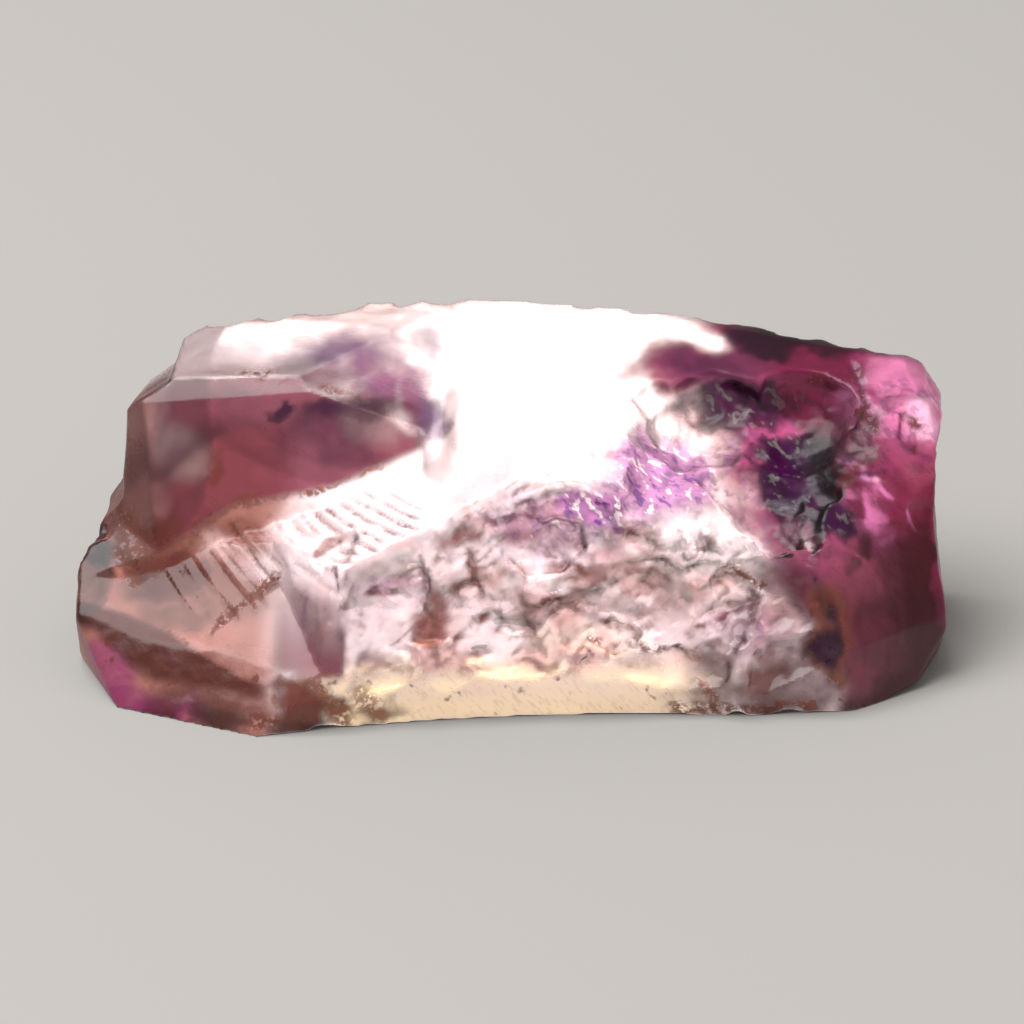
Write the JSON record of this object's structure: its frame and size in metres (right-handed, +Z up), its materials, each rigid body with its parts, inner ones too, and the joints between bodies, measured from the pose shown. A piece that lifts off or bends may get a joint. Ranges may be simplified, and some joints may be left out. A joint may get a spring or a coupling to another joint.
{
  "type": "rough ametrine",
  "caption": "Rough lump of clear violet and pale yellow gem quartz, with a smooth face, a rippled flake scar and a hackly broken front, resting on a flat face.",
  "frame": {"origin": "middle of the bounding box, on the plane that the piece rests on", "axes": "+X along the piece towards its deep violet end, -Y towards its broken hackly front, +Z up"},
  "size_m": [0.036, 0.0148, 0.0132],
  "materials": {
    "ametrine": "clear quartz, violet at the ends and champagne to pale yellow along the foot, glossy breaks with frosted and rust-stained skin"
  },
  "bodies": {
    "root": {"ametrine": "ametrine"}
  },
  "joints": []
}
